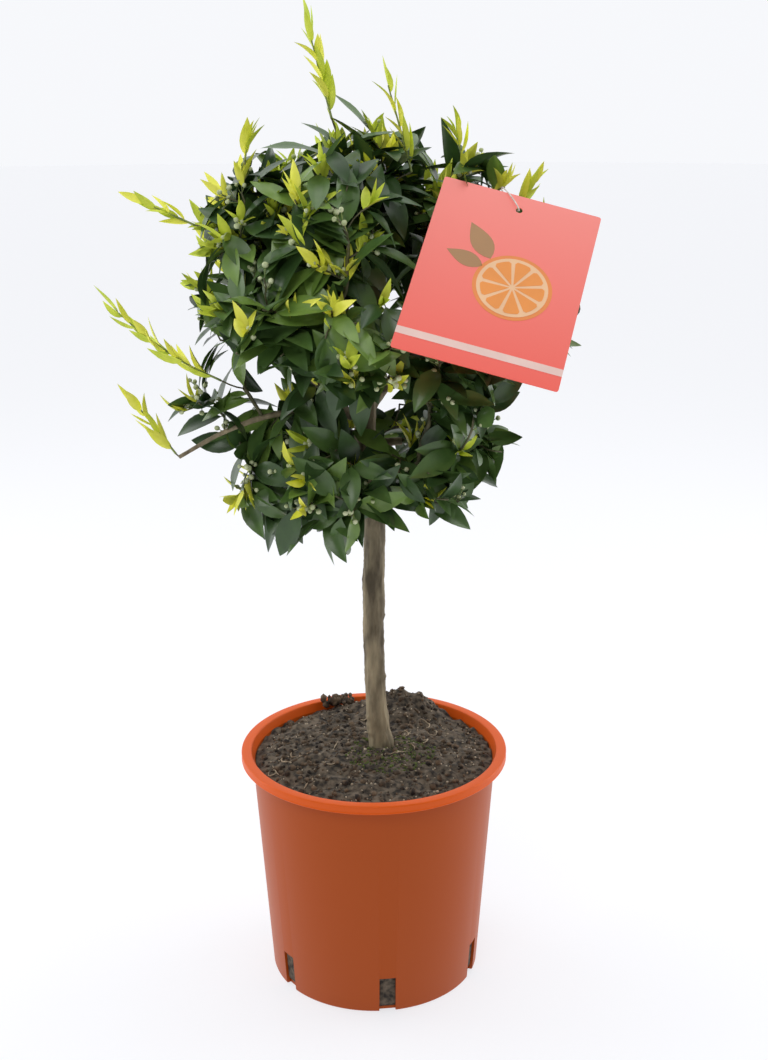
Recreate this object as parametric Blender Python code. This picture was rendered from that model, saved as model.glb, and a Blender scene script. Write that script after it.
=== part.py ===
# Potted mandarin orange tree: a round head on a bare stem, in a plain nursery pot,
# with a bare hang card tied to the head.
# Metres, +Z up. The origin is the middle of the pot's flat underside, and -Y is the front.

import math
import random

import bmesh
import bpy
import numpy as np
from mathutils import Matrix, Vector
from mathutils.bvhtree import BVHTree

# Pot
POT_HEIGHT = 0.197
RIM_RADIUS = 0.110
RIM_DROP = 0.0065
RIM_WIDTH = 0.0085
RIM_ROUND = 0.0015
RIM_LIP_IN = 0.0030
RIM_LIP_DIP = 0.0005
RIM_LIP_RISE = 0.0008
BODY_TOP_RADIUS = 0.1009
BASE_RADIUS = 0.0877
POT_WALL = 0.0018
POT_FLOOR = 0.0025
BASE_ROUND = 0.0015
POT_SEGMENTS = 40

# Drain slots, cut up from the pot's bottom edge
SLOT_COUNT = 6
SLOT_WIDTH = 0.0134
SLOT_HEIGHT = 0.032
SLOT_REACH_IN = 0.004
SLOT_REACH_OUT = 0.010
SLOT_REACH_DOWN = 0.002
FIRST_SLOT_ANGLE = math.radians(-83.4)

# Compost
SOIL_EDGE_HEIGHT = 0.1885
SOIL_MIDDLE_HEIGHT = 0.1985
SOIL_FLAT_RADIUS = 0.013
SOIL_FALL_POWER = 1.6
SOIL_FOOT_HEIGHT = 0.006
SOIL_RINGS = 6
SOIL_SEGMENTS = 30
SOIL_HEAPS = (
    # x, y, height, spread
    (0.034, 0.074, 0.024, 0.021),
    (0.002, 0.080, 0.015, 0.017),
    (-0.030, 0.080, 0.006, 0.014),
    (-0.062, -0.028, 0.004, 0.024),
    (0.058, -0.030, 0.005, 0.026),
)

# Stem, from a flat cut on the compost up to the fork
FORK_HEIGHT = 0.502
TRUNK_RADIUS = 0.0083
FLARE_RADIUS = 0.0022
FLARE_HEIGHT = 0.014
FORK_SWELL = 0.0012
TRUNK_SIDES = 10
TRUNK_STEPS = 17
TRUNK_SWAY = (
    # height, sideways drift of the stem's axis
    (SOIL_MIDDLE_HEIGHT, 0.0062),
    (0.230, 0.0026),
    (0.300, 0.0002),
    (0.345, 0.0008),
    (0.385, 0.0018),
    (0.415, 0.0002),
    (0.465, -0.0055),
    (FORK_HEIGHT, -0.0040),
)
KNOTS = (
    # height, side it bulges to, how far
    (0.344, -1.0, 0.0012),
    (0.321, 1.0, 0.0012),
    (0.408, -1.0, 0.0035),
)
KNOT_SPREAD = 0.008

# Masses of foliage: name, x, y, z of the middle, mean radius
MASSES = (
    ("foliage_top", -0.006, -0.004, 0.660, 0.040),
    ("foliage_upper_left", -0.086, -0.030, 0.630, 0.045),
    ("foliage_upper_front", -0.022, -0.076, 0.626, 0.043),
    ("foliage_upper_right", 0.062, -0.004, 0.635, 0.042),
    ("foliage_upper_back_left", -0.062, 0.064, 0.624, 0.046),
    ("foliage_upper_back_right", 0.028, 0.080, 0.622, 0.046),
    ("foliage_right_shoulder", 0.110, 0.050, 0.596, 0.042),
    ("foliage_middle_left", -0.104, 0.006, 0.557, 0.036),
    ("foliage_middle_front_left", -0.074, -0.084, 0.566, 0.040),
    ("foliage_middle_front", -0.004, -0.104, 0.548, 0.042),
    ("foliage_middle_front_right", 0.064, -0.078, 0.530, 0.042),
    ("foliage_middle_right", 0.112, -0.020, 0.562, 0.042),
    ("foliage_middle_back_right", 0.066, 0.098, 0.540, 0.047),
    ("foliage_middle_back_left", -0.060, 0.100, 0.542, 0.047),
    ("foliage_left_spray", -0.130, -0.022, 0.492, 0.024),
    ("foliage_lower_left", -0.084, -0.022, 0.438, 0.037),
    ("foliage_lower_front", -0.030, -0.066, 0.440, 0.038),
    ("foliage_lower_front_right", 0.040, -0.060, 0.450, 0.040),
    ("foliage_lower_right", 0.070, 0.004, 0.456, 0.038),
    ("foliage_lower_back_right", 0.036, 0.074, 0.450, 0.041),
    ("foliage_lower_back_left", -0.050, 0.066, 0.448, 0.042),
)
MASS_DETAIL = 3
SMALL_MASS_RADIUS = 0.030
SMALL_MASS_DETAIL = 2
TUFTS = 11
TUFT_SPREAD = math.radians(34)
TUFT_HEIGHT = 0.34
BETWEEN_TUFTS = 0.90
SKY_GAP = 0.005
LIMB_CLEARANCE = 0.009
CARD_CLEARANCE = 0.010
STRING_CLEARANCE = 0.006
CARVE_STEP = 0.0015
MASS_STRETCH = (0.92, 1.10)
LEAST_FACING = 0.01
LIMB_STRIDE = 4

# Boughs: name, height where each leaves the stem, base radius, rise in degrees, mass it enters
BOUGHS = (
    ("bough_leader", 0.500, 0.0040, 86, "foliage_top"),
    ("bough_right", 0.496, 0.0044, 18, "foliage_middle_right"),
    ("bough_upper_right", 0.499, 0.0042, 48, "foliage_upper_right"),
    ("bough_upper_left", 0.497, 0.0042, 52, "foliage_upper_left"),
    ("bough_front", 0.485, 0.0038, 38, "foliage_middle_front"),
    ("bough_front_left", 0.470, 0.0036, 34, "foliage_middle_front_left"),
    ("bough_back_right", 0.478, 0.0042, 36, "foliage_middle_back_right"),
    ("bough_back_left", 0.490, 0.0042, 36, "foliage_middle_back_left"),
    ("bough_lower_right", 0.455, 0.0034, 6, "foliage_lower_right"),
)
BOUGH_END_RADIUS = 0.0024
BOUGH_SIDES = 6
BOUGH_STEPS = 4

# The long bare twig at the lower left dips away from the stem and carries its own shoot
LOW_TWIG = (
    (-0.005, 0.000, 0.480),
    (-0.055, -0.024, 0.487),
    (-0.100, -0.036, 0.479),
    (-0.147, -0.030, 0.453),
)
LOW_TWIG_RADIUS = 0.0028
LOW_TWIG_END_RADIUS = 0.0015

# Young leafy shoots: name, base, tip, and how far the middle bows up or down
SHOOTS = (
    ("shoot_top", (-0.020, -0.008, 0.670), (-0.049, -0.010, 0.785), 0.000),
    ("shoot_top_right", (0.030, -0.028, 0.664), (0.007, -0.032, 0.744), 0.002),
    ("shoot_upper_left_tuft", (-0.094, -0.036, 0.650), (-0.084, -0.040, 0.702), 0.000),
    ("shoot_upper_left", (-0.108, -0.030, 0.618), (-0.183, -0.030, 0.652), 0.000),
    ("shoot_middle_left", (-0.112, -0.040, 0.514), (-0.204, -0.040, 0.584), -0.008),
    ("shoot_lower_left", (-0.1495, -0.030, 0.4555), (-0.190, -0.030, 0.511), 0.000),
    ("shoot_upper_right", (0.074, -0.008, 0.655), (0.058, -0.010, 0.704), 0.000),
    ("shoot_right_tuft", (0.108, 0.010, 0.632), (0.131, 0.000, 0.670), 0.000),
    ("shoot_back", (-0.030, 0.096, 0.634), (-0.046, 0.146, 0.684), 0.000),
    ("shoot_back_right", (0.096, 0.078, 0.600), (0.150, 0.122, 0.622), 0.000),
    ("shoot_back_left", (-0.090, 0.104, 0.560), (-0.150, 0.142, 0.612), -0.006),
)
SHOOT_RADIUS = 0.0085
SHOOT_END_RADIUS = 0.0016
SHOOT_SIDES = 6
SHOOT_STEPS = 4

# Hang card and the loop of string it hangs by
CARD_WIDTH = 0.116
CARD_HEIGHT = 0.157
CARD_THICKNESS = 0.0008
CARD_COLUMNS = 8
CARD_ROWS = 11
CARD_MIDDLE = Vector((0.089, -0.100, 0.5955))
CARD_TURN = math.radians(7.6)
CARD_LEAN = math.radians(-45.4)
CARD_ROLL = math.radians(20.6)
CARD_HOLE_RADIUS = 0.0025
CARD_HOLE_BELOW_TOP = 0.013
CARD_HOLE_SIDES = 12
HOLE_CUTTER_DEPTH = 0.008
STRING_RADIUS = 0.0005
STRING_HALF_WIDTH = 0.0032
STRING_POINTS = 14
TWIG_END_OF_STRING = Vector((0.0945, -0.0365, 0.6535))

GAP = 0.0003
LOOK_OUT = Vector((0.31, 0.52, 0.79)).normalized()
PATH_SAMPLES = 120
LATHE_MERGE = 1e-6


def clear_scene():
    for obj in list(bpy.data.objects):
        bpy.data.objects.remove(obj, do_unlink=True)


def make_material(name, colour, roughness):
    material = bpy.data.materials.new(name)
    material.use_nodes = True
    shader = material.node_tree.nodes["Principled BSDF"]
    shader.inputs["Base Color"].default_value = (*colour, 1.0)
    shader.inputs["Roughness"].default_value = roughness
    shader.inputs["Metallic"].default_value = 0.0
    material.diffuse_color = (*colour, 1.0)
    return material


def add_object(name, data, material):
    obj = bpy.data.objects.new(name, data)
    bpy.context.collection.objects.link(obj)
    data.materials.append(material)
    return obj


def mesh_from(name, bm, smooth_angle=None):
    bmesh.ops.recalc_face_normals(bm, faces=bm.faces)
    mesh = bpy.data.meshes.new(name)
    bm.to_mesh(mesh)
    bm.free()
    if smooth_angle is not None:
        mesh.shade_smooth()
        mesh.set_sharp_from_angle(angle=smooth_angle)
    return mesh


def turned_mesh(name, profile, segments, smooth_angle):
    """Turns a profile of (radius, height) points, which starts and ends on the axis."""
    bm = bmesh.new()
    verts = [bm.verts.new((radius, 0.0, height)) for radius, height in profile]
    edges = [bm.edges.new(pair) for pair in zip(verts, verts[1:])]
    bmesh.ops.spin(
        bm, geom=verts + edges, cent=(0, 0, 0), axis=(0, 0, 1),
        angle=2 * math.pi, steps=segments, use_duplicate=False,
    )
    bmesh.ops.remove_doubles(bm, verts=bm.verts, dist=LATHE_MERGE)
    return mesh_from(name, bm, smooth_angle)


def inner_wall_radius(height):
    """The pot's inside radius at a height, where its wall is straight."""
    share = height / (POT_HEIGHT - RIM_DROP)
    return BASE_RADIUS + (BODY_TOP_RADIUS - BASE_RADIUS) * share - POT_WALL


def make_pot(material):
    rim_base = POT_HEIGHT - RIM_DROP
    rim_inner = RIM_RADIUS - RIM_WIDTH
    profile = (
        (0.0, 0.0),
        (BASE_RADIUS - BASE_ROUND, 0.0),
        (BASE_RADIUS, BASE_ROUND),
        (BODY_TOP_RADIUS, rim_base),
        (RIM_RADIUS - RIM_LIP_IN, rim_base + RIM_LIP_DIP),
        (RIM_RADIUS - RIM_ROUND, rim_base - RIM_LIP_DIP),
        (RIM_RADIUS, rim_base + RIM_LIP_RISE),
        (RIM_RADIUS, POT_HEIGHT - RIM_ROUND),
        (RIM_RADIUS - RIM_ROUND, POT_HEIGHT),
        (rim_inner + RIM_ROUND, POT_HEIGHT),
        (rim_inner, POT_HEIGHT - RIM_ROUND),
        (inner_wall_radius(rim_base), rim_base),
        (inner_wall_radius(POT_FLOOR + BASE_ROUND), POT_FLOOR + BASE_ROUND),
        (inner_wall_radius(POT_FLOOR) - BASE_ROUND, POT_FLOOR),
        (0.0, POT_FLOOR),
    )
    pot = add_object("pot", turned_mesh("pot", profile, POT_SEGMENTS, math.radians(40)), material)
    slots = pot.modifiers.new("drain slots", "BOOLEAN")
    slots.operation = "DIFFERENCE"
    slots.object = make_slot_cutter()
    return pot


def make_slot_cutter():
    """Six upright blocks round the foot, which open the wall and the edge of the floor."""
    bm = bmesh.new()
    length = SLOT_REACH_IN + 2 * POT_WALL + SLOT_REACH_OUT
    middle = BASE_RADIUS - SLOT_REACH_IN + length / 2
    size = Matrix.Diagonal((length, SLOT_WIDTH, SLOT_HEIGHT + SLOT_REACH_DOWN, 1.0))
    for index in range(SLOT_COUNT):
        angle = FIRST_SLOT_ANGLE + index * 2 * math.pi / SLOT_COUNT
        place = Matrix.Translation((middle, 0.0, (SLOT_HEIGHT - SLOT_REACH_DOWN) / 2))
        bmesh.ops.create_cube(bm, size=1.0, matrix=Matrix.Rotation(angle, 4, "Z") @ place @ size)
    mesh = mesh_from("slot_cutter", bm)
    cutter = bpy.data.objects.new("slot_cutter", mesh)
    bpy.context.collection.objects.link(cutter)
    cutter.hide_render = True
    cutter.display_type = "WIRE"
    return cutter


def soil_height(x, y):
    """A low mound with a flat top round the stem and a few heaps pushed up near the wall."""
    radius = math.hypot(x, y)
    edge = inner_wall_radius(SOIL_EDGE_HEIGHT)
    fall = max(0.0, radius - SOIL_FLAT_RADIUS) / (edge - SOIL_FLAT_RADIUS)
    height = SOIL_MIDDLE_HEIGHT + (SOIL_EDGE_HEIGHT - SOIL_MIDDLE_HEIGHT) * fall**SOIL_FALL_POWER
    away = min(1.0, max(0.0, radius - SOIL_FLAT_RADIUS) / SOIL_FLAT_RADIUS)
    for heap_x, heap_y, rise, spread in SOIL_HEAPS:
        distance = math.hypot(x - heap_x, y - heap_y) / spread
        height += away * rise * math.exp(-distance * distance)
    return height


def make_soil(material):
    bm = bmesh.new()
    bottom = POT_FLOOR + GAP
    rings = []
    foot_radius = inner_wall_radius(bottom) - BASE_ROUND - GAP
    foot = [
        (foot_radius, bottom),
        (inner_wall_radius(SOIL_FOOT_HEIGHT) - GAP, SOIL_FOOT_HEIGHT),
    ]
    for radius, height in foot:
        rings.append([(radius, angle, height) for angle in turn_angles(SOIL_SEGMENTS)])
    edge = inner_wall_radius(SOIL_EDGE_HEIGHT) - GAP
    for step in range(SOIL_RINGS, 0, -1):
        radius = SOIL_FLAT_RADIUS + (edge - SOIL_FLAT_RADIUS) * (step - 1) / (SOIL_RINGS - 1)
        rings.append([
            (radius, angle, soil_height(radius * math.cos(angle), radius * math.sin(angle)))
            for angle in turn_angles(SOIL_SEGMENTS)
        ])
    loops = [
        [bm.verts.new((r * math.cos(a), r * math.sin(a), z)) for r, a, z in ring] for ring in rings
    ]
    skin_loops(bm, loops)
    return add_object("soil", mesh_from("soil", bm, math.radians(60)), material)


def turn_angles(count):
    return [2 * math.pi * index / count for index in range(count)]


def skin_loops(bm, loops):
    """Joins rings of vertices into one closed skin, with a flat face over each end."""
    for low, high in zip(loops, loops[1:]):
        count = len(low)
        for index in range(count):
            after = (index + 1) % count
            bm.faces.new((low[index], low[after], high[after], high[index]))
    bm.faces.new(reversed(loops[0]))
    bm.faces.new(loops[-1])


def smooth_path(points, samples):
    """A smooth curve through the points (Catmull-Rom), read at evenly spread places."""
    points = [Vector(point) for point in points]
    points = [2 * points[0] - points[1], *points, 2 * points[-1] - points[-2]]
    spans = len(points) - 3
    path = []
    for sample in range(samples + 1):
        place = min(sample / samples * spans, spans - 1e-9)
        span = int(place)
        t = place - span
        a, b, c, d = points[span:span + 4]
        path.append(0.5 * (2 * b + (c - a) * t + (2 * a - 5 * b + 4 * c - d) * t**2
                           + (3 * b - a - 3 * c + d) * t**3))
    return path


def bowed_path(start, control, end, samples):
    """A simple bend from start to end, pulled towards the control point."""
    path = []
    for sample in range(samples + 1):
        t = sample / samples
        path.append(start * (1 - t)**2 + 2 * control * t * (1 - t) + end * t**2)
    return path


def tapered(start_radius, end_radius, samples):
    return [start_radius + (end_radius - start_radius) * i / samples for i in range(samples + 1)]


def ring_places(path, index, radius, sides):
    """Places round the path, square to it, at one of its points."""
    before = path[max(index - 1, 0)]
    after = path[min(index + 1, len(path) - 1)]
    turn = (after - before).to_track_quat("Z", "X")
    return [
        path[index] + turn @ Vector((radius * math.cos(angle), radius * math.sin(angle), 0.0))
        for angle in turn_angles(sides)
    ]


def tube_mesh(name, path, radii, sides, steps):
    """A closed tube along the path, with flat ends."""
    bm = bmesh.new()
    last = len(path) - 1
    loops = []
    for step in range(steps + 1):
        index = round(last * step / steps)
        loops.append([bm.verts.new(p) for p in ring_places(path, index, radii[index], sides)])
    skin_loops(bm, loops)
    return mesh_from(name, bm, math.radians(50))


def surface_of(obj):
    bm = bmesh.new()
    bm.from_mesh(obj.data)
    bmesh.ops.triangulate(bm, faces=bm.faces)
    tree = BVHTree.FromBMesh(bm)
    bm.free()
    return tree


def is_inside(place, surface):
    """Counts how often a straight line out of the place crosses the surface."""
    crossings = 0
    hit = surface.ray_cast(place, LOOK_OUT)[0]
    while hit is not None:
        crossings += 1
        hit = surface.ray_cast(hit + LOOK_OUT * GAP / 10, LOOK_OUT)[0]
    return crossings % 2 == 1


def stands_clear(place, surfaces):
    for surface in surfaces:
        distance = surface.find_nearest(place)[3]
        if distance < GAP or is_inside(place, surface):
            return False
    return True


def clear_stretch(path, radii, sides, surfaces):
    """The longest stretch of the path on which a tube touches none of the surfaces."""
    best = (0, 0)
    begin = None
    for index in range(len(path) + 1):
        clear = index < len(path) and all(
            stands_clear(place, surfaces)
            for place in [path[index], *ring_places(path, index, radii[index], sides)]
        )
        if clear and begin is None:
            begin = index
        if not clear and begin is not None:
            if index - begin > best[1] - best[0]:
                best = (begin, index)
            begin = None
    return slice(*best)


def trunk_axis(height):
    heights = [row[0] for row in TRUNK_SWAY]
    drifts = [row[1] for row in TRUNK_SWAY]
    return Vector((float(np.interp(height, heights, drifts)), 0.0, height))


def trunk_radius(height):
    above_soil = height - SOIL_MIDDLE_HEIGHT
    below_fork = FORK_HEIGHT - height
    flare = FLARE_RADIUS * math.exp(-above_soil / FLARE_HEIGHT)
    swell = FORK_SWELL * math.exp(-(below_fork / FLARE_HEIGHT)**2)
    return TRUNK_RADIUS + flare + swell


def make_trunk(material):
    bm = bmesh.new()
    foot = SOIL_MIDDLE_HEIGHT + GAP
    bends = [(drift, 0.0, height) for height, drift in TRUNK_SWAY]
    path = smooth_path(bends, PATH_SAMPLES)
    loops = []
    for step in range(TRUNK_STEPS + 1):
        height = foot + (FORK_HEIGHT - foot) * step / TRUNK_STEPS
        axis = min(path, key=lambda place: abs(place.z - height))
        radius = trunk_radius(height)
        ring = []
        for angle in turn_angles(TRUNK_SIDES):
            bulge = 0.0
            for knot_height, side, size in KNOTS:
                facing = max(0.0, side * math.cos(angle))
                bulge += size * facing**2 * math.exp(-((height - knot_height) / KNOT_SPREAD)**2)
            reach = radius + bulge
            ring.append(bm.verts.new((
                axis.x + reach * math.cos(angle), reach * math.sin(angle), height,
            )))
        loops.append(ring)
    skin_loops(bm, loops)
    return add_object("trunk", mesh_from("trunk", bm, math.radians(50)), material)


def mass_middle(name):
    row = next(row for row in MASSES if row[0] == name)
    return Vector(row[1:4])


def bough_paths():
    """Each limb as (name, path, radii, the mass that it enters or None)."""
    limbs = []
    for name, height, radius, rise, target in BOUGHS:
        start = trunk_axis(height)
        end = mass_middle(target)
        flat = Vector((end.x - start.x, end.y - start.y, 0.0)).normalized()
        lift = math.radians(rise)
        reach = 0.5 * (end - start).length
        control = start + reach * (flat * math.cos(lift) + Vector((0, 0, math.sin(lift))))
        path = bowed_path(start, control, end, PATH_SAMPLES)
        limbs.append((name, path, tapered(radius, BOUGH_END_RADIUS, PATH_SAMPLES), target))
    path = smooth_path(LOW_TWIG, PATH_SAMPLES)
    radii = tapered(LOW_TWIG_RADIUS, LOW_TWIG_END_RADIUS, PATH_SAMPLES)
    limbs.append(("bough_lower_left", path, radii, None))
    return limbs


def card_matrix():
    turn = Matrix.Rotation(CARD_TURN, 4, "Z")
    lean = Matrix.Rotation(CARD_LEAN, 4, "X")
    roll = Matrix.Rotation(CARD_ROLL, 4, "Y")
    return Matrix.Translation(CARD_MIDDLE) @ turn @ lean @ roll


def string_loop_places():
    """A slim closed loop through the card's hole and up to its twig."""
    place = card_matrix()
    hole = place @ Vector((0.0, 0.0, CARD_HEIGHT / 2 - CARD_HOLE_BELOW_TOP))
    outward = place.to_3x3() @ Vector((0.0, -1.0, 0.0))
    middle = (hole + TWIG_END_OF_STRING) / 2
    along = (TWIG_END_OF_STRING - hole) / 2
    return [
        middle + along * math.cos(angle) + outward * STRING_HALF_WIDTH * math.sin(angle)
        for angle in turn_angles(STRING_POINTS)
    ]


def uneven_reach(directions, radius, rng):
    """How far the foliage reaches each way: a ball with tufts, a little longer one way."""
    stretch = np.array([rng.uniform(*MASS_STRETCH) for _ in range(3)])
    reach = np.full(len(directions), BETWEEN_TUFTS)
    for _ in range(TUFTS):
        tuft = np.array([rng.gauss(0, 1) for _ in range(3)])
        tuft /= np.linalg.norm(tuft)
        off = np.arccos(np.clip(directions @ tuft, -1.0, 1.0)) / TUFT_SPREAD
        reach += TUFT_HEIGHT * rng.uniform(0.5, 1.0) * np.clip(1.0 - off, 0.0, 1.0)
    return radius * reach * np.linalg.norm(directions * stretch, axis=1)


def stop_at_neighbours(name, middle, radius, directions, reach):
    """Keeps a mass on its own side of a flat gap to every other mass."""
    for other, x, y, z, other_radius in MASSES:
        if other == name:
            continue
        across = np.array((x, y, z)) - middle
        distance = np.linalg.norm(across)
        share = (distance**2 + radius**2 - other_radius**2) / (2 * distance**2)
        wall = distance * share - SKY_GAP / 2
        facing = directions @ (across / distance)
        ahead = np.maximum(facing, LEAST_FACING)
        limit = np.where(facing > LEAST_FACING, wall / ahead, np.inf)
        reach = np.minimum(reach, limit)
    return reach


def card_places():
    """A grid of places over the hang card."""
    matrix = card_matrix()
    places = []
    for column in range(CARD_COLUMNS + 1):
        for row in range(CARD_ROWS + 1):
            across = CARD_WIDTH * (column / CARD_COLUMNS - 0.5)
            up = CARD_HEIGHT * (row / CARD_ROWS - 0.5)
            places.append(matrix @ Vector((across, 0.0, up)))
    return places


def stop_at_limbs(middle, directions, reach, places, clearances):
    """Ends each ray out of the middle where it comes near a limb that passes by."""
    steps = np.arange(1, int(reach.max() / CARVE_STEP) + 1) * CARVE_STEP
    points = middle + directions[:, None, :] * steps[None, :, None]
    apart = np.linalg.norm(points[:, :, None, :] - places[None, None, :, :], axis=3)
    blocked = (apart < clearances[None, None, :]).any(axis=2)
    first = np.where(blocked.any(axis=1), steps[blocked.argmax(axis=1)] - CARVE_STEP, np.inf)
    return np.minimum(reach, np.maximum(first, CARVE_STEP))


def passing_limbs(limbs, target):
    """Places on the stem, the card, the string and each bough that doesn't end in this mass."""
    places = []
    clearances = []
    for step in range(PATH_SAMPLES // LIMB_STRIDE + 1):
        share = step * LIMB_STRIDE / PATH_SAMPLES
        axis = trunk_axis(SOIL_MIDDLE_HEIGHT + (FORK_HEIGHT - SOIL_MIDDLE_HEIGHT) * share)
        places.append(axis)
        clearances.append(TRUNK_RADIUS + LIMB_CLEARANCE)
    for _, path, radii, entered in limbs:
        if entered != target:
            places.extend(path[::LIMB_STRIDE])
            clearances.extend(radius + LIMB_CLEARANCE for radius in radii[::LIMB_STRIDE])
    for place in card_places():
        places.append(place)
        clearances.append(CARD_CLEARANCE)
    for place in string_loop_places():
        places.append(place)
        clearances.append(STRING_CLEARANCE)
    return np.array(places), np.array(clearances)


def make_mass(row, limbs, material):
    name, x, y, z, radius = row
    rng = random.Random(name)
    middle = np.array((x, y, z))
    bm = bmesh.new()
    detail = SMALL_MASS_DETAIL if radius < SMALL_MASS_RADIUS else MASS_DETAIL
    bmesh.ops.create_icosphere(bm, subdivisions=detail, radius=1.0)
    directions = np.array([vert.co.normalized() for vert in bm.verts])
    reach = uneven_reach(directions, radius, rng)
    reach = stop_at_neighbours(name, middle, radius, directions, reach)
    reach = stop_at_limbs(middle, directions, reach, *passing_limbs(limbs, name))
    for vert, direction, distance in zip(bm.verts, directions, reach):
        vert.co = direction * distance
    obj = add_object(name, mesh_from(name, bm, math.radians(70)), material)
    obj.location = middle
    return obj


def mass_surface(obj):
    """The surface of a mass where it stands, for measuring distances to it."""
    bm = bmesh.new()
    bm.from_mesh(obj.data)
    bmesh.ops.translate(bm, verts=bm.verts, vec=obj.location)
    tree = BVHTree.FromBMesh(bm)
    bm.free()
    return tree


def shoot_radii(samples):
    """Slim at both ends and widest a third of the way up."""
    radii = []
    for sample in range(samples + 1):
        t = sample / samples
        swell = math.sin(math.pi * t**0.7)
        radii.append(SHOOT_END_RADIUS + (SHOOT_RADIUS - SHOOT_END_RADIUS) * swell)
    return radii


def make_shoot(row, surfaces, material):
    name, base, tip, bow = row
    base = Vector(base)
    tip = Vector(tip)
    control = (base + tip) / 2 + Vector((0.0, 0.0, 2 * bow))
    path = bowed_path(base, control, tip, PATH_SAMPLES)
    thin = [SHOOT_END_RADIUS] * len(path)
    path = path[clear_stretch(path, thin, SHOOT_SIDES, surfaces)]
    radii = shoot_radii(len(path) - 1)
    stretch = clear_stretch(path, radii, SHOOT_SIDES, surfaces)
    mesh = tube_mesh(name, path[stretch], radii[stretch], SHOOT_SIDES, SHOOT_STEPS)
    return add_object(name, mesh, material)


def make_card(material):
    bm = bmesh.new()
    size = Matrix.Diagonal((CARD_WIDTH, CARD_THICKNESS, CARD_HEIGHT, 1.0))
    bmesh.ops.create_cube(bm, size=1.0, matrix=size)
    card = add_object("hang_card", mesh_from("hang_card", bm), material)
    card.matrix_world = card_matrix()
    hole = card.modifiers.new("hole", "BOOLEAN")
    hole.operation = "DIFFERENCE"
    hole.object = make_hole_cutter()
    return card


def make_hole_cutter():
    bm = bmesh.new()
    lay_flat = Matrix.Rotation(math.pi / 2, 4, "X")
    bmesh.ops.create_cone(
        bm, cap_ends=True, segments=CARD_HOLE_SIDES, radius1=CARD_HOLE_RADIUS,
        radius2=CARD_HOLE_RADIUS, depth=HOLE_CUTTER_DEPTH, matrix=lay_flat,
    )
    cutter = bpy.data.objects.new("hole_cutter", mesh_from("hole_cutter", bm))
    bpy.context.collection.objects.link(cutter)
    down = Matrix.Translation((0.0, 0.0, CARD_HEIGHT / 2 - CARD_HOLE_BELOW_TOP))
    cutter.matrix_world = card_matrix() @ down
    cutter.hide_render = True
    cutter.display_type = "WIRE"
    return cutter


def make_string(material):
    curve = bpy.data.curves.new("hang_string", "CURVE")
    curve.dimensions = "3D"
    curve.bevel_depth = STRING_RADIUS
    curve.bevel_resolution = 0
    spline = curve.splines.new("POLY")
    places = string_loop_places()
    spline.points.add(len(places) - 1)
    for point, place in zip(spline.points, places):
        point.co = (*place, 1.0)
    spline.use_cyclic_u = True
    return add_object("hang_string", curve, material)


def main():
    clear_scene()
    terracotta = make_material("terracotta_plastic", (0.62, 0.19, 0.05), 0.45)
    compost = make_material("compost", (0.035, 0.026, 0.018), 0.95)
    bark = make_material("bark", (0.33, 0.28, 0.21), 0.8)
    leaves = make_material("leaves", (0.045, 0.095, 0.022), 0.4)
    young_leaves = make_material("young_leaves", (0.50, 0.58, 0.06), 0.5)
    card_print = make_material("card_print", (0.87, 0.23, 0.17), 0.45)
    twine = make_material("twine", (0.85, 0.83, 0.78), 0.8)

    make_pot(terracotta)
    make_soil(compost)
    trunk = make_trunk(bark)
    limbs = bough_paths()
    masses = [make_mass(row, limbs, leaves) for row in MASSES]
    surfaces = [surface_of(trunk)] + [mass_surface(mass) for mass in masses]
    for name, path, radii, _ in limbs:
        stretch = clear_stretch(path, radii, BOUGH_SIDES, surfaces)
        mesh = tube_mesh(name, path[stretch], radii[stretch], BOUGH_SIDES, BOUGH_STEPS)
        surfaces.append(surface_of(add_object(name, mesh, bark)))
    for row in SHOOTS:
        make_shoot(row, surfaces, young_leaves)
    make_card(card_print)
    make_string(twine)


main()
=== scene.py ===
import random
from math import cos, exp, hypot, pi, radians, sin, sqrt

import bmesh
import bpy
import numpy as np
from mathutils import Matrix, Vector, noise
from mathutils.bvhtree import BVHTree


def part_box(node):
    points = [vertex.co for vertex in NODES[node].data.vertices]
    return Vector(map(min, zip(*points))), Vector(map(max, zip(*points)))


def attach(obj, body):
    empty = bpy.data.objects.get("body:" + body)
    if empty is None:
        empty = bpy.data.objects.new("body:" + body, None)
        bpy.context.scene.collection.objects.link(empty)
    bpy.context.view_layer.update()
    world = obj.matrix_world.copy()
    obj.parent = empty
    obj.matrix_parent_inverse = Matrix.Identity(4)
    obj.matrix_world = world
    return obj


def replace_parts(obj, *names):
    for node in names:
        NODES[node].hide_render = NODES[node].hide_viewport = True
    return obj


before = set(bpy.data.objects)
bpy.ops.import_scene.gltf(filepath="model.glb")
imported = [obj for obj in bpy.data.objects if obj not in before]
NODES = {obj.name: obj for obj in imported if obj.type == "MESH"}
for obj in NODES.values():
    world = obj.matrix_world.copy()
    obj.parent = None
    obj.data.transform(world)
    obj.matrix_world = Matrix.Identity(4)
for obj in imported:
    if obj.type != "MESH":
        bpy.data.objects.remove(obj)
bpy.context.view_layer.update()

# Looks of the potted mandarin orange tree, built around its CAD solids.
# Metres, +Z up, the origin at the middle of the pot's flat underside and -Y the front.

BODY = "root"
MASSES = sorted(name for name in NODES if name.startswith("foliage_"))
BOUGHS = sorted(name for name in NODES if name.startswith("bough_"))
SHOOTS = sorted(name for name in NODES if name.startswith("shoot_"))
GOLDEN_TURN = radians(137.5)
UP = Vector((0.0, 0.0, 1.0))

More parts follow.
